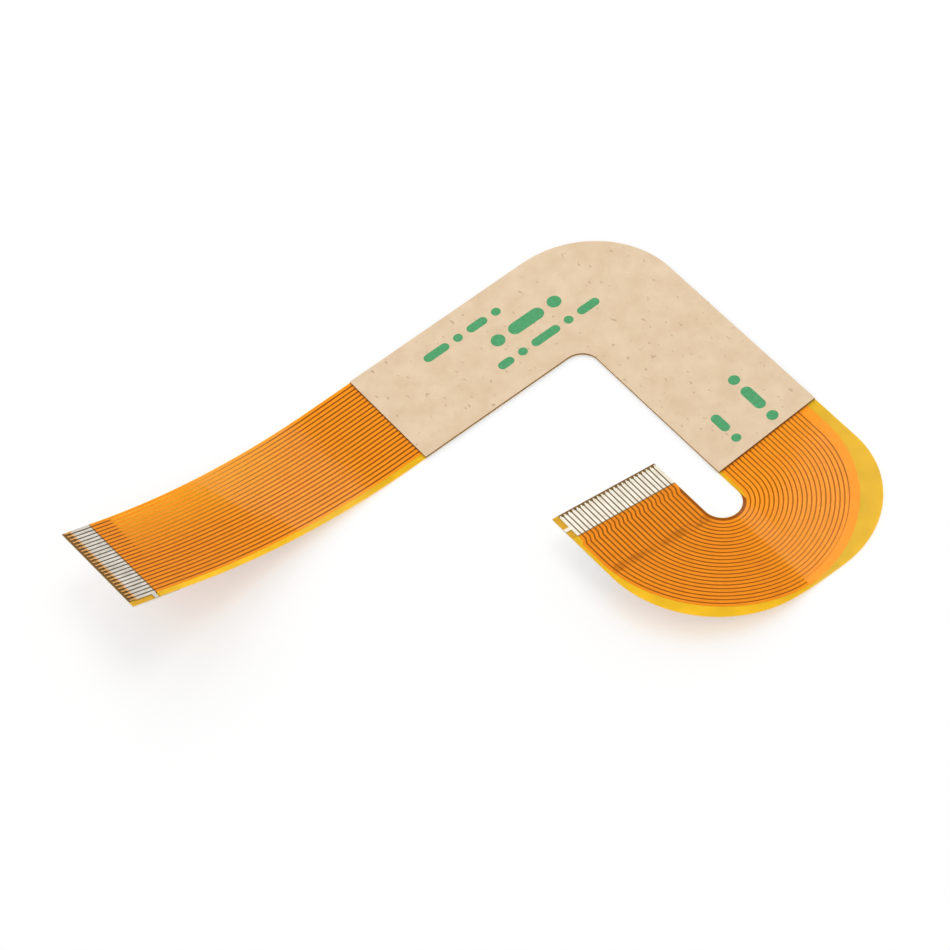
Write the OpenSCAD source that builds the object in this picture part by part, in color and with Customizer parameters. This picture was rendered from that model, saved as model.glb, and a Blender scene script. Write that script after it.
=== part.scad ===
// Flat flex cable: a die-cut polyimide printed circuit in the shape of a J.
// A long tail, a square corner and a straight spine lead to a U-turn and a short hook. Both
// ends are bare contacts on a stiffener. A strip of transfer adhesive under a paper liner
// covers the corner and the spine. The tail curls up off the table, and the hook leans up
// towards its outer edge.

/* [Contacts and conductors] */
// Number of conductors
ways = 24; // [20:1:26]
// Centre distance of the contacts
pitch = 0.5; // [0.46:0.01:0.55]
// Width of a bare contact
contact_w = 0.35; // [0.25:0.01:0.4]
// Length of the bare contacts, from the film's end to the coverlay
bare_len = 3.2; // [2.5:0.1:4.5]
// Distance from the tail's end to the full width of its contacts
tail_inset = 0.7; // [0.4:0.05:1]
// Distance from the hook's end to the full width of its contacts
hook_inset = 0.4; // [0.3:0.05:1]
// Distance from the film's end to the plating leads
lead_inset = 0.2; // [0:0.05:0.3]
// Width of a plating lead
lead_w = 0.16; // [0.1:0.01:0.2]
// Width of the stub that ties an end contact to the film's side
stub_w = 0.4; // [0.2:0.05:0.5]
// Distance from the coverlay to the middle of the stub on the tail
tail_stub = 0.35; // [0.3:0.05:1.5]
// Distance from the coverlay to the middle of the stub on the hook
hook_stub = 1.25; // [0.3:0.05:1.5]
// Width of a conductor under the coverlay
track_w = 0.32; // [0.2:0.01:0.34]
// Clear film outside the conductors on the spine
spine_edge_out = 1.37; // [0.5:0.01:1.5]
// Clear film between the conductors and the slot
spine_edge_in = 0.32; // [0.2:0.01:0.6]
// Clear film outside the conductors at the far side of the U-turn
turn_edge_out = 0.37; // [0.2:0.01:0.8]
// Clear film between the conductors and the slot's end
turn_edge_in = 0.37; // [0.2:0.01:0.8]
// Distance that the tied pair of conductors widens outwards on the spine
tie_spread = 0.31; // [0:0.01:0.4]
// Length over which the hook's conductors step across to their contacts
jog_len = 0.6; // [0.3:0.1:0.8]

/* [Film outline] */
// Length along the tail, from the outer corner to the tip
tail_len = 67; // [62:0.5:90]
// Length of the spine, from the outer corner to the far side of the U-turn
spine_len = 49.5; // [46:0.5:70]
// Length of the hook, from the far side of the U-turn to the tip
hook_len = 21.1; // [20:0.1:26]
// Width of the slot between the spine and the hook
slot_w = 4; // [3.6:0.1:6]
// Distance from the end of the slot to the far side of the U-turn
turn_w = 11.3; // [10:0.1:13]
// Radius of the outer corner
corner_r = 10.5; // [6:0.5:12]
// Radius of the inner corner
inner_r = 2.1; // [1:0.1:3]
// Radius of the U-turn on the spine's side
turn_r = 10.5; // [6:0.5:12]
// Radius of the U-turn on the hook's side
hook_r = 12; // [8:0.5:13]

/* [Layers] */
// Thickness of the base film
base_t = 0.05; // [0.03:0.005:0.1]
// Thickness of the copper
copper_t = 0.035; // [0.02:0.005:0.07]
// Thickness of the coverlay
cover_t = 0.05; // [0.03:0.005:0.1]
// Thickness of the transfer adhesive
tape_t = 0.05; // [0.03:0.01:0.15]
// Thickness of the release liner
liner_t = 0.1; // [0.06:0.01:0.2]
// Thickness of each stiffener
stiff_t = 0.2; // [0.1:0.01:0.25]
// Thickness of the adhesive that holds each stiffener
bond_t = 0.05; // [0.03:0.01:0.08]

/* [Stiffeners and liner] */
// Length of the tail's stiffener
tail_stiff_len = 5.4; // [4:0.1:9]
// Length of the hook's stiffener
hook_stiff_len = 8; // [5:0.1:9]
// Distance from the outer corner to the liner's end on the tail
liner_tail = 32.3; // [26:0.1:34]
// Distance from the outer corner to the liner's end on the spine
liner_spine = 33.1; // [28:0.1:34]
// Angle by which the liner's end on the spine is cut off square
liner_slant = 2.3; // [0:0.1:4]

/* [How it lies] */
// Distance from the outer corner to where the tail leaves the table
curl_start = 36; // [34:0.5:40]
// Radius of the tail's curl
curl_r = 60; // [45:1:80]
// Angle that the tail rises to
curl_angle = 23.5; // [10:0.5:30]
// Angle by which the curl's axis is off square to the tail
curl_skew = 15; // [0:1:16]
// Angle that the hook leans up to
lean_angle = 11.4; // [9:0.1:14]

/* [Hidden] */
first_single = 3;
$fn = 360;
reach = 120;
curl_steps = 24;
lean_steps = 8;

// A cable of this kind is one pitch wider than its row of contacts
film_w = micron((ways + 1) * pitch);
row = (ways - 1) * pitch;
clear_edge = film_w - row - contact_w;
half_track = micron(track_w / 2);
half_contact = micron(contact_w / 2);
half_lead = micron(lead_w / 2);

// Heights of the layers over the film's underside
copper_low = base_t;
cover_low = copper_low + copper_t;
tape_low = cover_low + cover_t;
liner_low = tape_low + tape_t;
bond_low = -bond_t;
stiff_low = bond_low - stiff_t;

// The slot, and the hook as seen from above
slot_r = micron(slot_w / 2);
slot_mid = film_w + slot_r;
slot_end = micron(spine_len - turn_w);
hook_in = film_w + 2 * slot_r;
hook_out = hook_in + micron(film_w * cos(lean_angle));
hook_tip = micron(spine_len - hook_len);
hook_bare = hook_tip + micron(bare_len);
jog_low = hook_bare + micron(jog_len);
jog_high = jog_low + micron(jog_len);
lean_r = slot_w / sin(lean_angle);
zone_split = micron((film_w + hook_tip) / 2);

// The tail as seen from above
tail_tip = from_above(tail_len);
tail_bare = from_above(tail_len - bare_len);

// Conductor spacings that differ from the contacts' pitch
spine_pitch = (film_w - spine_edge_out - spine_edge_in - track_w) / (ways - 1);
turn_pitch = (turn_w - turn_edge_out - turn_edge_in - track_w) / (ways - 1);
half_tie = micron((spine_pitch + tie_spread + half_track) / 2);

film_colour = [0.93, 0.55, 0.12, 0.6];
copper_colour = [0.8, 0.5, 0.2];
bond_colour = [0.85, 0.8, 0.65];
stiff_colour = [0.9, 0.88, 0.82];
liner_colour = [0.86, 0.76, 0.62];

function conductor_name(k) = str("conductor_", k < 10 ? "0" : "", k);

// Plan sizes are held to a whole micron, so that straights and bends meet without a gap
function micron(size) = round(size * 1000) / 1000;

// Where a length along the tail lies as seen from above, once the tail is curled
function from_above(length) =
    let (bend = curl_r * curl_angle * PI / 180, past = length - curl_start)
    micron(
        past <= 0 ? length :
        past <= bend ? curl_start + curl_r * sin(past / bend * curl_angle) :
        curl_start + curl_r * sin(curl_angle) + (past - bend) * cos(curl_angle)
    );

// Where a distance from the hook's outer edge lies as seen from above
function on_hook(distance) = micron(hook_out - distance * cos(lean_angle));

// Centre lines of conductor k: along the tail, the spine, the U-turn's far side and the hook
function tail_y(k) = micron(half_contact + (k - 1) * pitch);
function spine_x(k) = micron(
    film_w - spine_edge_in - half_track - (ways - k) * spine_pitch
    - max(2 - k, 0) * tie_spread
);
function turn_y(k) = micron(spine_len - turn_edge_out - half_track - (k - 1) * turn_pitch);
function hook_x(k) = on_hook((film_w - row) / 2 + (k - 1) * pitch);
function contact_x(k) = on_hook(clear_edge + tail_y(k));

// Radii of conductor k in the corner and on both sides of the U-turn
function corner_turn(k) = micron(inner_r) + film_w - spine_x(k);
function spine_turn(k) = slot_mid - spine_x(k);
function hook_turn(k) = hook_x(k) - slot_mid;

// ---- Plan shapes, drawn from the outer corner ----

// Straight runs along X and along Y, by their centre line and half width
module run_x(from, to, y, half) {
    translate([from, y - half]) square([to - from, 2 * half]);
}

module run_y(x, from, to, half) {
    translate([x - half, from]) square([2 * half, to - from]);
}

// A quarter of a ring, turned to its quadrant
module quarter(centre, radius, half, quadrant) {
    translate(centre) rotate(90 * quadrant) intersection() {
        difference() {
            circle(radius + half);
            circle(radius - half);
        }
        square(2 * radius);
    }
}

// What is taken off a square corner to round it, or added to fill an inner one
module corner_piece(corner, radius, quadrant) {
    translate(corner) rotate(90 * quadrant) difference() {
        square(radius);
        translate([radius, radius]) circle(radius);
    }
}

module film_plan() {
    difference() {
        union() {
            square([tail_tip, film_w]);
            square([film_w, spine_len]);
            translate([0, hook_tip]) square([hook_out, hook_len]);
            corner_piece([film_w, film_w], inner_r, 0);
        }
        corner_piece([0, 0], corner_r, 0);
        corner_piece([0, spine_len], turn_r, 3);
        corner_piece([hook_out, spine_len], hook_r, 2);
        translate([slot_mid, slot_end - slot_r]) circle(slot_r);
        run_y(slot_mid, hook_tip, slot_end - slot_r, slot_r);
    }
}

module bare_ends() {
    translate([tail_bare, 0]) square([reach, film_w]);
    translate([film_w, zone_split]) square([reach, hook_bare - zone_split]);
}

module liner_plan() {
    intersection() {
        film_plan();
        union() {
            square([liner_tail, film_w + inner_r]);
            difference() {
                square([film_w + inner_r, slot_end]);
                translate([film_w / 2, liner_spine]) rotate(liner_slant)
                    translate([-film_w, 0]) square(2 * film_w);
            }
        }
    }
}

// The stretch of conductor k along the spine and half way round the U-turn
module turn_track(k, half) {
    run_y(spine_x(k), tail_y(k) + corner_turn(k), turn_y(k) - spine_turn(k), half);
    quarter([slot_mid, turn_y(k) - spine_turn(k)], spine_turn(k), half, 1);
}

// The stretch of conductor k along the hook, with the step across to its contact
module hook_track(k, half) {
    quarter([slot_mid, turn_y(k) - hook_turn(k)], hook_turn(k), half, 0);
    run_y(hook_x(k), jog_high, turn_y(k) - hook_turn(k), half);
    polygon([
        [contact_x(k) - half, jog_low],
        [contact_x(k) + half, jog_low],
        [hook_x(k) + half, jog_high],
        [hook_x(k) - half, jog_high]
    ]);
    run_y(contact_x(k), hook_bare, jog_low, half);
}

// Conductor k, from one coverlay edge to the other
module track(k) {
    corner_centre = [spine_x(k) + corner_turn(k), tail_y(k) + corner_turn(k)];
    run_x(corner_centre.x, tail_bare, tail_y(k), half_track);
    quarter(corner_centre, corner_turn(k), half_track, 2);
    turn_track(k, half_track);
    hook_track(k, half_track);
}

// The bare contacts of conductor k. Each keeps the end of the lead that it was plated
// through, and the last at each end a stub to the film's side.
module contacts(k) {
    full_tail = tail_tip - micron(tail_inset);
    full_hook = hook_tip + micron(hook_inset);
    run_x(tail_bare, full_tail, tail_y(k), half_contact);
    run_x(full_tail, tail_tip - micron(lead_inset), tail_y(k), half_lead);
    run_y(contact_x(k), full_hook, hook_bare, half_contact);
    run_y(contact_x(k), hook_tip + micron(lead_inset), full_hook, half_lead);
    if (k == ways)
        translate([tail_bare + tail_stub - stub_w / 2, tail_y(k)])
            square([stub_w, film_w - tail_y(k)]);
    if (k == 1)
        translate([contact_x(k), hook_bare - hook_stub - stub_w / 2])
            square([hook_out - contact_x(k), stub_w]);
}

// ---- Bent layers ----

function backwards(points) = [for (i = [len(points) - 1 : -1 : 0]) points[i]];

// A layer with its outline as seen from above given as a child. It lies flat up to the Y
// axis, bends up on a radius and goes on straight. The bend is taken in small flat steps.
module bent(low, thickness, radius, angle, steps) {
    function side(level) = [
        for (i = [0 : steps]) let (turn = angle * i / steps)
            [0, radius] + (radius - level) * [sin(turn), -cos(turn)]
    ];
    function onwards(level) = side(level)[steps] + reach * [cos(angle), sin(angle)];
    high = low + thickness;
    section = concat(
        [[-reach, low]], side(low), [onwards(low)],
        [onwards(high)], backwards(side(high)), [[-reach, high]]
    );
    intersection() {
        linear_extrude(reach, center = true) children();
        rotate([90, 0, 0]) linear_extrude(2 * reach, center = true) polygon(section);
    }
}

// A layer over the corner and the tail, which curls up on a slightly skewed axis
module tail_layer(low, thickness) {
    translate([-film_w / 2, -film_w / 2, 0]) translate([curl_start, film_w / 2, 0])
        rotate(curl_skew)
        bent(low, thickness, curl_r, curl_angle, curl_steps)
        rotate(-curl_skew) translate([-curl_start, -film_w / 2]) intersection() {
            children();
            square([reach, zone_split]);
        }
}

// A layer over the U-turn, where the film bends between the slot's sides, and the hook
module hook_layer(low, thickness) {
    translate([-film_w / 2, -film_w / 2, 0]) translate([film_w, 0, 0])
        bent(low, thickness, lean_r, lean_angle, lean_steps)
        translate([-film_w, 0]) intersection() {
            children();
            translate([0, zone_split]) square(reach);
        }
}

module layer(low, thickness) {
    tail_layer(low, thickness) children();
    hook_layer(low, thickness) children();
}

// ---- The pieces ----

module base_film() {
    color(film_colour) layer(0, base_t) film_plan();
}

module conductor(k) {
    color(copper_colour) layer(copper_low, copper_t) {
        union() {
            track(k);
            contacts(k);
        }
    }
}

// The first two conductors, joined by a band along the spine and into the U-turn
module tied_conductors() {
    color(copper_colour) layer(copper_low, copper_t) {
        union() {
            track(1);
            contacts(1);
            track(2);
            contacts(2);
            turn_track(1.5, half_tie);
        }
    }
}

module cover_plan() {
    difference() {
        film_plan();
        bare_ends();
    }
}

// What bonds the coverlay down and fills the channels between the conductors
module cover_adhesive() {
    color(bond_colour) layer(copper_low, copper_t) difference() {
        cover_plan();
        for (k = [1 : ways]) track(k);
        turn_track(1.5, half_tie);
    }
}

module coverlay() {
    color(film_colour) layer(cover_low, cover_t) cover_plan();
}

module transfer_adhesive() {
    color(bond_colour) layer(tape_low, tape_t) liner_plan();
}

module release_liner() {
    color(liner_colour) layer(liner_low, liner_t) liner_plan();
}

module tail_end(low, thickness) {
    tail_layer(low, thickness) intersection() {
        film_plan();
        translate([from_above(tail_len - tail_stiff_len), 0]) square([reach, film_w]);
    }
}

module hook_end(low, thickness) {
    hook_layer(low, thickness) intersection() {
        film_plan();
        translate([hook_in, hook_tip]) square([film_w, hook_stiff_len]);
    }
}

module bond_tail() {
    color(bond_colour) tail_end(bond_low, bond_t);
}

module bond_hook() {
    color(bond_colour) hook_end(bond_low, bond_t);
}

module stiffener_tail() {
    color(stiff_colour) tail_end(stiff_low, stiff_t);
}

module stiffener_hook() {
    color(stiff_colour) hook_end(stiff_low, stiff_t);
}

stiffener_tail();
stiffener_hook();
bond_tail();
bond_hook();
base_film();
tied_conductors();
for (k = [first_single : ways])
    conductor(k);
cover_adhesive();
coverlay();
transfer_adhesive();
release_liner();
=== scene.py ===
import math

import bmesh
import bpy
from mathutils import Matrix, Vector


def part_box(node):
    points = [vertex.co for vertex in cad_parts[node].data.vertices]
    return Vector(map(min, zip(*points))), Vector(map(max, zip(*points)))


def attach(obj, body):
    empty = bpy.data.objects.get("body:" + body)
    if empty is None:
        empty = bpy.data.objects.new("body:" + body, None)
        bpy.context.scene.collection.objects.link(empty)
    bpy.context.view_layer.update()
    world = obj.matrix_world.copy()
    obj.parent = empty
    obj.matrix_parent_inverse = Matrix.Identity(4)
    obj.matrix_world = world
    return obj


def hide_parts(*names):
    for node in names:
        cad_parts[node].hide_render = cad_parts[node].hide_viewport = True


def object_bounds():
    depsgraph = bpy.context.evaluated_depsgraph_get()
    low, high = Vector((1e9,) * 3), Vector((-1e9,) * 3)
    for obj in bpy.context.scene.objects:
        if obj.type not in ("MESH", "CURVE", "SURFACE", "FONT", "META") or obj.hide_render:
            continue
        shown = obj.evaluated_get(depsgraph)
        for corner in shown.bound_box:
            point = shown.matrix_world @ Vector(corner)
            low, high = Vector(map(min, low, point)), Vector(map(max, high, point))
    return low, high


MM = 0.001

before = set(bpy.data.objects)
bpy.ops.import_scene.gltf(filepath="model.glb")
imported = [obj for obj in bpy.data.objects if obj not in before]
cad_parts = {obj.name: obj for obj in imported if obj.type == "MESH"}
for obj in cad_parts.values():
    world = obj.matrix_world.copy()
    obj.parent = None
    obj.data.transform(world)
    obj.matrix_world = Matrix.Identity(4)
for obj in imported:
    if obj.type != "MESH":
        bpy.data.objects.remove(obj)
cad_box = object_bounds()
low, high = cad_box
centre = (low + high) / 2

# ---- Places that the pieces and materials need, from the frame ----
BARE_LENGTH = 3.2 * MM
TILT_MARGIN = 1 * MM
tail_bare_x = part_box("coverlay")[1].x
hook_inner_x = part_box("stiffener_hook")[0].x
hook_bare_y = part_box("stiffener_hook")[0].y + BARE_LENGTH
hook_root_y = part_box("stiffener_hook")[1].y
tail_root_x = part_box("stiffener_tail")[0].x
hook_outer_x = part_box("stiffener_hook")[1].x
liner_low, liner_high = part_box("release_liner")

# The clear film beside the outermost contact, and how much of a plain film's gloss shows
CLEAR_MARGIN = 0.7 * MM
GLOSS_SHARE = 0.35


# ---- Camera ----
def make_camera():
    """The photograph's view: a long lens from above and behind the spine, turned a little."""
    azimuth, elevation, roll = (math.radians(a) for a in (61.88, 53.34, -11.89))
    distance = 403.7 * MM
    aim = Vector((centre.x - 2.9 * MM, centre.y - 7.4 * MM, 0))
    back = Vector((
        math.cos(elevation) * math.cos(azimuth),
        math.cos(elevation) * math.sin(azimuth),
        math.sin(elevation),
    ))
    level = Vector((0, 0, 1)).cross(back).normalized()
    upward = back.cross(level)
    right = math.cos(roll) * level + math.sin(roll) * upward
    top = -math.sin(roll) * level + math.cos(roll) * upward
    data = bpy.data.cameras.new("camera")
    data.sensor_width = 36
    data.lens = 157.9
    data.clip_start = 0.01
    data.clip_end = 20
    camera = bpy.data.objects.new("camera", data)
    bpy.context.scene.collection.objects.link(camera)
    turn = Matrix((right, top, back)).transposed().to_4x4()
    camera.matrix_world = Matrix.Translation(aim + back * distance) @ turn
    bpy.context.scene.camera = camera


# ---- Node helpers ----
class Shader:
    """A material's node tree, with short calls that add nodes and links."""

    def __init__(self, name):
        self.material = bpy.data.materials.new(name)
        self.material.use_nodes = True
        self.tree = self.material.node_tree
        self.tree.nodes.clear()

    def node(self, kind, inputs=None, **settings):
        made = self.tree.nodes.new(kind)
        for key, value in settings.items():
            setattr(made, key, value)
        for key, value in (inputs or {}).items():
            if isinstance(value, bpy.types.NodeSocket):
                self.tree.links.new(value, made.inputs[key])
            else:
                made.inputs[key].default_value = value
        return made

    def math(self, operation, a, b=0.0):
        return self.node("ShaderNodeMath", {0: a, 1: b}, operation=operation).outputs[0]

    def product(self, *values):
        result = values[0]
        for value in values[1:]:
            result = self.math("MULTIPLY", result, value)
        return result

    def place(self):
        """The point in the row frame, in metres, as separate X, Y and Z."""
        point = self.node("ShaderNodeTexCoord").outputs["Object"]
        return self.node("ShaderNodeSeparateXYZ", {0: point}).outputs

    def upward(self):
        """The Z part of the surface normal."""
        normal = self.node("ShaderNodeNewGeometry").outputs["Normal"]
        return self.node("ShaderNodeSeparateXYZ", {0: normal}).outputs[2]

    def outside(self):
        """1 where a surface is met from outside, 0 where it is met from within."""
        return self.math("SUBTRACT", 1.0, self.node("ShaderNodeNewGeometry").outputs["Backfacing"])

    def noise(self, scale, detail=2.0, roughness=0.5, stretch=None):
        point = self.node("ShaderNodeTexCoord").outputs["Object"]
        if stretch:
            point = self.node("ShaderNodeMapping", {"Vector": point, "Scale": stretch}).outputs[0]
        inputs = {"Vector": point, "Scale": scale, "Detail": detail, "Roughness": roughness}
        return self.node("ShaderNodeTexNoise", inputs).outputs["Fac"]

    def ramp(self, value, *stops):
        """A colour ramp through (position, colour) stops."""
        made = self.node("ShaderNodeValToRGB", {0: value})
        points = made.color_ramp.elements
        while len(points) < len(stops):
            points.new(1)
        for point, (position, colour) in zip(points, stops):
            point.position = position
            point.color = (*colour, 1)
        return made.outputs["Color"]

    def span(self, value, first, last, to_first=0.0, to_last=1.0):
        """A value carried from one span to another, and held at both ends."""
        inputs = {
            "Value": value, "From Min": first, "From Max": last,
            "To Min": to_first, "To Max": to_last,
        }
        return self.node("ShaderNodeMapRange", inputs).outputs[0]

    def step(self, value, edge, width):
        """0 below the edge and 1 above it, over a width; a negative width turns it round."""
        return self.span(value, edge - width / 2, edge + width / 2)

    def line(self, value, middle, width):
        """1 along a line of the given width, 0 beside it."""
        off = self.math("ABSOLUTE", self.math("SUBTRACT", value, middle))
        return self.span(off, 0.25 * width, 0.5 * width, 1.0, 0.0)

    def mix(self, factor, a, b):
        inputs = {"Factor": factor, 6: a, 7: b}
        return self.node("ShaderNodeMix", inputs, data_type="RGBA").outputs[2]

    def bump(self, height, distance):
        return self.node("ShaderNodeBump", {"Height": height, "Distance": distance}).outputs["Normal"]

    def blend(self, factor, a, b):
        return self.node("ShaderNodeMixShader", {0: factor, 1: a, 2: b}).outputs[0]

    def finish(self, surface):
        self.node("ShaderNodeOutputMaterial", {"Surface": surface})
        return self.material


def rgb(red, green, blue):
    """A linear colour from the 0 to 255 values that it shows as."""
    def linear(value):
        value /= 255
        return value / 12.92 if value <= 0.04045 else ((value + 0.055) / 1.055) ** 2.4
    return linear(red), linear(green), linear(blue)


# ---- Materials ----
def film_material(name, tint, gloss_roughness, painted_shade_ends=False):
    """Clear amber film. Light takes the tint at each face, so twice in one sheet, and the
    outside reflects. Between bare contacts the film gets a painted shade, a darker tint."""
    s = Shader(name)
    normal = s.bump(s.noise(90), 0.00001)
    cloud = s.noise(70, 3.0)
    deep = tuple(c ** 1.12 for c in tint)
    shade = s.ramp(cloud, (0.35, deep), (0.65, tint))
    if painted_shade_ends:
        # Painted shade: the base film between the bare contacts at both ends is tinted darker
        x, y, _ = s.place()
        tail, hook = end_masks(s)
        tail_row_shade = s.product(tail, s.step(y, -low.y - CLEAR_MARGIN, -0.02 * MM))
        hook_row_shade = s.product(hook, s.step(x, hook_outer_x - CLEAR_MARGIN, -0.02 * MM))
        shade = s.mix(s.math("MAXIMUM", tail_row_shade, hook_row_shade), shade, (0.72, 0.64, 0.5, 1))
    through = s.node("ShaderNodeBsdfTransparent", {"Color": shade}).outputs[0]
    gloss = s.node(
        "ShaderNodeBsdfGlossy",
        {"Color": (1, 1, 1, 1), "Roughness": gloss_roughness, "Normal": normal},
    ).outputs[0]
    fresnel = s.node("ShaderNodeFresnel", {"IOR": 1.5, "Normal": normal}).outputs[0]
    return s.finish(s.blend(s.product(fresnel, s.outside(), GLOSS_SHARE), through, gloss))


def glue_material(name, colour, painted_light_colour=None):
    """Cloudy adhesive under the coverlay: it shines back, and lets soft light through. Where
    the tail stands clear of the table, its far side gets a lighter colour, painted light for light from below."""
    s = Shader(name)
    shade = s.ramp(s.noise(500, 3.0), (0.35, tuple(c * 0.92 for c in colour)), (0.65, colour))
    if painted_light_colour:
        # Painted light: the adhesive on the tail's far side, clear of the table, is coloured lighter by place
        x, y, _ = s.place()
        painted_glow_mask = s.product(
            s.span(y, low.y, low.y + 7 * MM, 1.0, 0.0),
            s.span(x, tail_root_x - 22 * MM, tail_root_x - 6 * MM),
            s.step(x, tail_root_x, -0.4 * MM),
        )
        shade = s.mix(painted_glow_mask, shade, (*painted_light_colour, 1))
    back = s.node("ShaderNodeBsdfDiffuse", {"Color": shade}).outputs[0]
    onward = s.node("ShaderNodeBsdfTranslucent", {"Color": shade}).outputs[0]
    cloudy = s.blend(0.4, back, onward)
    # A lamp shines straight on through, and leaves an amber light on the table
    clear = s.node("ShaderNodeBsdfTransparent", {"Color": (1, 0.93, 0.8, 1)}).outputs[0]
    lamp_ray = s.node("ShaderNodeLightPath").outputs["Is Shadow Ray"]
    return s.finish(s.blend(lamp_ray, cloudy, clear))


def end_masks(s):
    """1 on the bare contacts at the tail and at the hook, 0 under the coverlay."""
    x, y, _ = s.place()
    edge = 0.02 * MM
    tail = s.step(x, tail_bare_x, edge)
    hook = s.product(
        s.step(x, hook_inner_x - TILT_MARGIN, edge),
        s.step(y, hook_bare_y, -edge),
        s.step(y, hook_bare_y - 2 * BARE_LENGTH, edge),
    )
    return tail, hook


def copper_material():
    """Rolled copper under the coverlay, tinned and a little scuffed where it is bare."""
    s = Shader("copper")
    x, y, _ = s.place()
    tail, hook = end_masks(s)
    grain = s.noise(900, 3.0, 0.6)
    copper = s.ramp(grain, (0.3, rgb(238, 156, 146)), (0.7, rgb(246, 166, 154)))
    on_hook = s.step(x, hook_inner_x - TILT_MARGIN, 0.5 * MM)
    blots = s.span(s.noise(900, 2.0), 0.35, 0.6)
    # Painted shade: dark blotches on the copper along the fold at the hook stiffener's root
    painted_crease_shade = s.product(s.line(y, hook_root_y + 0.5 * MM, 1.3 * MM), on_hook, blots)
    copper = s.mix(s.math("MULTIPLY", painted_crease_shade, 0.5), copper, (*rgb(168, 96, 74), 1))
    # Painted shade: the tail's tin is a darker copy of the hook's, standing in for how the tilted tail's contacts
    # reflect less light
    tail_tin_painted_shade = s.ramp(grain, (0.3, rgb(190, 184, 172)), (0.7, rgb(220, 215, 204)))
    hook_tin = s.ramp(grain, (0.3, rgb(226, 217, 196)), (0.7, rgb(244, 238, 222)))
    # The plating leads at the very ends keep a gold tone
    tip = s.step(x, high.x - 0.9 * MM, 0.3 * MM)
    tail_tin_painted_shade = s.mix(tip, tail_tin_painted_shade, (*rgb(222, 160, 84), 1))
    colour = s.mix(tail, s.mix(hook, copper, hook_tin), tail_tin_painted_shade)
    # Painted shadow: a dark line on the copper along the coverlay's edges
    edge = 0.16 * MM
    hook_edge_shadow = s.product(s.line(y, hook_bare_y - 0.04 * MM, edge), on_hook)
    dark = s.math("MAXIMUM", s.line(x, tail_bare_x + 0.04 * MM, edge), hook_edge_shadow)
    colour = s.mix(s.math("MULTIPLY", dark, 0.8), colour, (*rgb(96, 62, 28), 1))
    bare = s.math("MAXIMUM", tail, hook)
    metal = s.node("ShaderNodeBsdfPrincipled", {
        "Base Color": colour,
        "Metallic": s.span(bare, 0.0, 1.0, 0.3, 0.45),
        "Roughness": s.span(bare, 0.0, 1.0, 0.3, 0.4),
        "Normal": s.bump(grain, 0.0000004),
    })
    return s.finish(metal.outputs[0])


def liner_material():
    """Kraft paper: warm brown with soft mottling, fibres and a few dark flecks."""
    s = Shader("kraft_paper")
    mottle = s.noise(420, 5.0, 0.65)
    paper = s.ramp(mottle, (0.3, rgb(217, 189, 154)), (0.5, rgb(223, 197, 163)), (0.7, rgb(229, 205, 173)))
    flecks = s.span(s.noise(2600, 1.0, 0.4, (1, 0.5, 1)), 0.70, 0.76)
    colour = s.mix(s.math("MULTIPLY", flecks, 0.45), paper, (*rgb(158, 122, 88), 1))
    # The paper's faces that don't look up, its sides, are coloured darker
    side_faces = s.step(s.upward(), 0.5, -0.2)
    colour = s.mix(side_faces, colour, (*rgb(140, 96, 54), 1))
    sheet = s.node("ShaderNodeBsdfPrincipled", {
        "Base Color": colour,
        "Roughness": 0.7,
        "Normal": s.bump(s.noise(2200, 4.0, 0.7), 0.000004),
    })
    return s.finish(sheet.outputs[0])


def print_material():
    """Green ink on the paper, a little thin where the fibres show through."""
    s = Shader("green_ink")
    ink = s.ramp(s.noise(3000, 3.0), (0.3, rgb(52, 146, 88)), (0.65, rgb(66, 160, 100)), (0.8, rgb(110, 176, 120)))
    sheet = s.node("ShaderNodeBsdfPrincipled", {"Base Color": ink, "Roughness": 0.6})
    return s.finish(sheet.outputs[0])


def plain_material(name, colour, roughness, variation=0.06):
    s = Shader(name)
    dark = tuple(c * (1 - variation) for c in colour)
    shade = s.ramp(s.noise(400, 3.0), (0.3, dark), (0.7, colour))
    sheet = s.node("ShaderNodeBsdfPrincipled", {"Base Color": shade, "Roughness": roughness})
    return s.finish(sheet.outputs[0])


def dress(piece, material):
    piece.data.materials.clear()
    piece.data.materials.append(material)


# ---- Pieces ----
def settle(piece, node, slot, *materials):
    """Puts a piece on the body, hides the solid that it stands in for, and gives it its materials."""
    bpy.context.scene.collection.objects.link(piece)
    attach(piece, "root")
    if node:
        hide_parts(node)
    for material in materials:
        piece.data.materials.append(material)


def is_margin(corner):
    """Whether a corner of an adhesive strip lies on the film's long edges."""
    hair = 0.01 * MM
    outer = corner.y < low.y + hair
    inner = abs(corner.y + low.y) < hair and corner.x > 7 * MM
    on_hook = corner.y > 15 * MM and corner.x > hook_outer_x - 5 * hair
    on_turn = corner.y > high.y - hair
    return outer or inner or on_hook or on_turn


def mark_margins(shape):
    """Gives the second material to the strips along the film's edges."""
    waiting = set(shape.verts)
    while waiting:
        strip, front = set(), [waiting.pop()]
        while front:
            vertex = front.pop()
            strip.add(vertex)
            for edge in vertex.link_edges:
                other = edge.other_vert(vertex)
                if other in waiting:
                    waiting.discard(other)
                    front.append(other)
        if any(is_margin(vertex.co) for vertex in strip):
            for vertex in strip:
                for face in vertex.link_faces:
                    face.material_index = 1


def clear_sheet(node, slot, *materials):
    """A clear layer a hair slimmer than its solid, so that it shares no face with the layers
    that it lies on: light would miss one of two faces in one place."""
    gap = 0.003 * MM
    shape = bmesh.new()
    shape.from_mesh(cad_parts[node].data)
    shape.normal_update()
    moves = [(v, -gap * v.calc_shell_factor() * v.normal) for v in shape.verts]
    for vertex, move in moves:
        vertex.co += move
    if len(materials) > 1:
        mark_margins(shape)
    mesh = bpy.data.meshes.new(node + "_sheet")
    shape.to_mesh(mesh)
    shape.free()
    settle(bpy.data.objects.new(node + "_sheet", mesh), node, slot, *materials)


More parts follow.
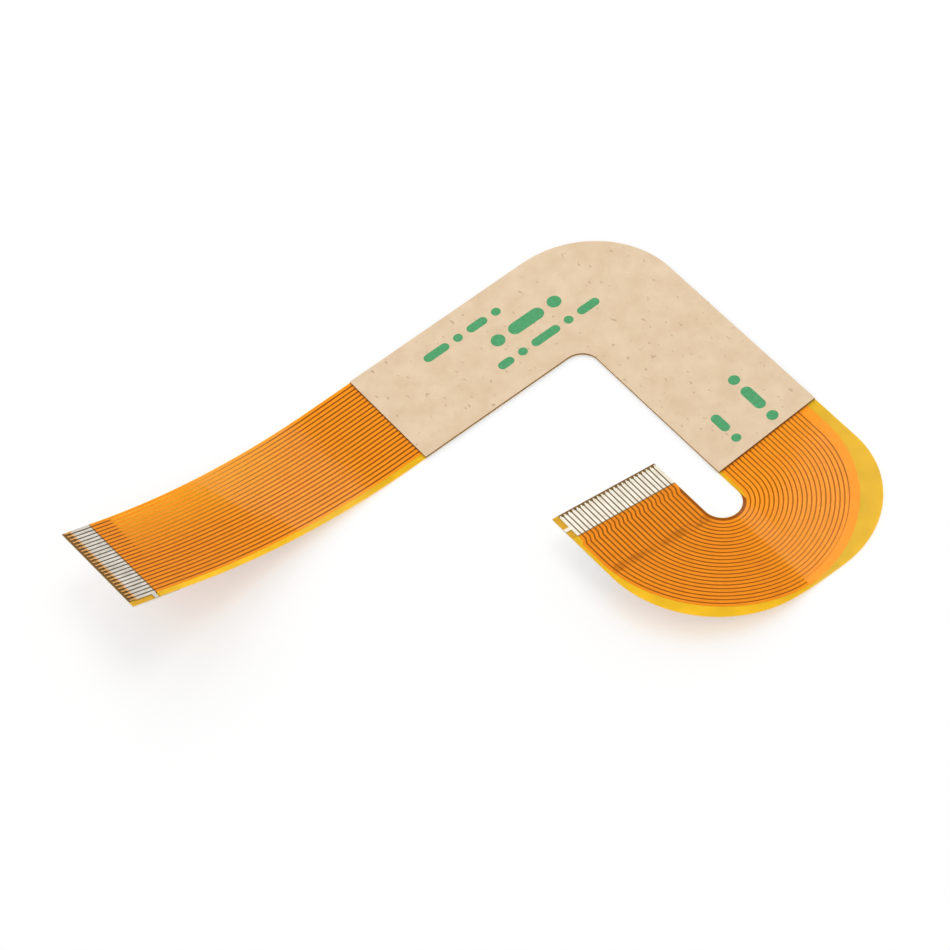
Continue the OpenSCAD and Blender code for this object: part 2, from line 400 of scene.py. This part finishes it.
def add_mark(shape, x, y, length, width, turn):
    """A flat bar with round ends, or a dot where it is as long as it is wide."""
    lift, thick, corners = 0.001 * MM, 0.003 * MM, 10
    rim = []
    for end in (1, -1):
        for i in range(corners + 1):
            a = math.pi * (i / corners - 0.5) + (0 if end == 1 else math.pi)
            along = end * (length - width) / 2 + width / 2 * math.cos(a)
            across = width / 2 * math.sin(a)
            rim.append((
                x + along * math.cos(turn) - across * math.sin(turn),
                y + along * math.sin(turn) + across * math.cos(turn),
            ))
    z = liner_high.z + lift
    floor = [shape.verts.new((px, py, z)) for px, py in rim]
    roof = [shape.verts.new((px, py, z + thick)) for px, py in rim]
    shape.faces.new(roof)
    shape.faces.new(floor[::-1])
    for i in range(len(rim)):
        j = (i + 1) % len(rim)
        shape.faces.new((floor[i], floor[j], roof[j], roof[i]))


def make_print():
    """Generic green marks: rows of bars and dots along both stretches of the liner."""
    shape = bmesh.new()
    # Each row: start along the stretch, place across it, height, and the bars' lengths, in mm
    tail_rows = (
        (1.5, 2.6, 1.0, (2.6, 1.0, 3.4, 1.0, 1.8)),
        (4.2, -0.2, 1.5, (1.5, 4.2, 1.5)),
        (9.5, -3.2, 1.0, (1.0, 2.4, 1.0, 3.0)),
    )
    spine_rows = (
        (19.0, 1.9, 1.2, (1.2, 3.2, 1.2)),
        (21.5, -2.4, 1.0, (2.4, 1.0)),
    )
    for rows, turn in ((tail_rows, 0), (spine_rows, math.pi / 2)):
        for start, across, width, lengths in rows:
            at = start
            for length in lengths:
                middle = (at + length / 2) * MM
                x, y = (middle, across * MM) if turn == 0 else (-across * MM, middle)
                add_mark(shape, x, y, length * MM, width * MM, turn)
                at += length + 0.7
    mesh = bpy.data.meshes.new("liner_print")
    shape.to_mesh(mesh)
    shape.free()
    settle(bpy.data.objects.new("liner_print", mesh), None, "liner", print_material())


def dress_all():
    # A tint is what one face lets through, and light meets two faces in each film
    clear_sheet("base_film", "base_film", film_material("base_film", (0.99, 0.89, 0.5), 0.12, True))
    clear_sheet("coverlay", "coverlay", film_material("coverlay_film", (0.995, 0.921, 0.376), 0.06))
    # Lit and shaded copies of one clear adhesive: darker in the channels between traces as painted shade of the
    # table under the copper, lighter along the film's edges as painted light
    channel_glue_painted_shade = glue_material("channel_adhesive_painted_shade", rgb(184, 116, 104), rgb(255, 226, 210))
    margin_glue_painted_light = glue_material("margin_adhesive_painted_light", rgb(255, 240, 232))
    clear_sheet("cover_adhesive", "bond", channel_glue_painted_shade, margin_glue_painted_light)
    copper = copper_material()
    bond = plain_material("bonding_film", rgb(222, 204, 160), 0.5)
    stiffener = plain_material("stiffener", rgb(244, 240, 230), 0.45)
    for name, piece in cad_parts.items():
        if "conductor" in name:
            dress(piece, copper)
        elif name.startswith("bond"):
            dress(piece, bond)
        elif name.startswith("stiffener"):
            dress(piece, stiffener)
    dress(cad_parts["transfer_adhesive"], plain_material("transfer_adhesive", rgb(120, 84, 46), 0.5))
    dress(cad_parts["release_liner"], liner_material())
    make_print()


# ---- Stage ----
def make_floor():
    size = 3.0
    mesh = bpy.data.meshes.new("floor")
    made = bmesh.new()
    bmesh.ops.create_grid(made, x_segments=1, y_segments=1, size=size)
    made.to_mesh(mesh)
    made.free()
    floor = bpy.data.objects.new("floor", mesh)
    bpy.context.scene.collection.objects.link(floor)
    floor.location.z = low.z - 0.02 * MM
    s = Shader("floor")
    table = s.node("ShaderNodeBsdfPrincipled", {
        "Base Color": (0.97, 0.97, 0.97, 1), "Roughness": 0.35, "Specular IOR Level": 0.25,
    })
    # The camera sees the table partly lit from within, which keeps the shadows light
    seen = s.math("MULTIPLY", s.node("ShaderNodeLightPath").outputs["Is Camera Ray"], 0.45)
    white = s.node("ShaderNodeEmission", {"Color": (1, 1, 1, 1), "Strength": 1.0}).outputs[0]
    mesh.materials.append(s.finish(s.blend(seen, table.outputs[0], white)))


def make_lamp(name, place, width, height, power):
    data = bpy.data.lights.new(name, "AREA")
    data.shape = "RECTANGLE"
    data.size = width
    data.size_y = height
    data.energy = power
    lamp = bpy.data.objects.new(name, data)
    bpy.context.scene.collection.objects.link(lamp)
    lamp.location = place
    lamp.rotation_mode = "QUATERNION"
    lamp.rotation_quaternion = (centre - place).to_track_quat("-Z", "Y")


def make_world():
    """A pale studio, brighter near the horizon than overhead."""
    world = bpy.data.worlds.new("studio")
    world.use_nodes = True
    nodes, links = world.node_tree.nodes, world.node_tree.links
    split = nodes.new("ShaderNodeSeparateXYZ")
    links.new(nodes.new("ShaderNodeTexCoord").outputs["Generated"], split.inputs[0])
    fade = nodes.new("ShaderNodeMapRange")
    links.new(split.outputs[2], fade.inputs["Value"])
    fade.inputs["To Min"].default_value = 1.0
    fade.inputs["To Max"].default_value = 0.6
    background = nodes["Background"]
    background.inputs["Color"].default_value = (1, 1, 1, 1)
    links.new(fade.outputs[0], background.inputs["Strength"])
    bpy.context.scene.world = world


def around(azimuth, elevation, distance):
    """A place round the object's middle: azimuth from +X in degrees, towards +Y."""
    a, e = math.radians(azimuth), math.radians(elevation)
    return Vector((
        centre.x + distance * math.cos(e) * math.cos(a),
        centre.y + distance * math.cos(e) * math.sin(a),
        distance * math.sin(e),
    ))


make_camera()
make_floor()
make_world()
make_lamp("back_softbox", around(268, 36, 0.9), 1.0, 0.5, 2.4)
make_lamp("key_softbox", around(205, 65, 0.9), 0.5, 0.5, 1.6)
dress_all()

bpy.context.scene.view_settings.view_transform = "Standard"
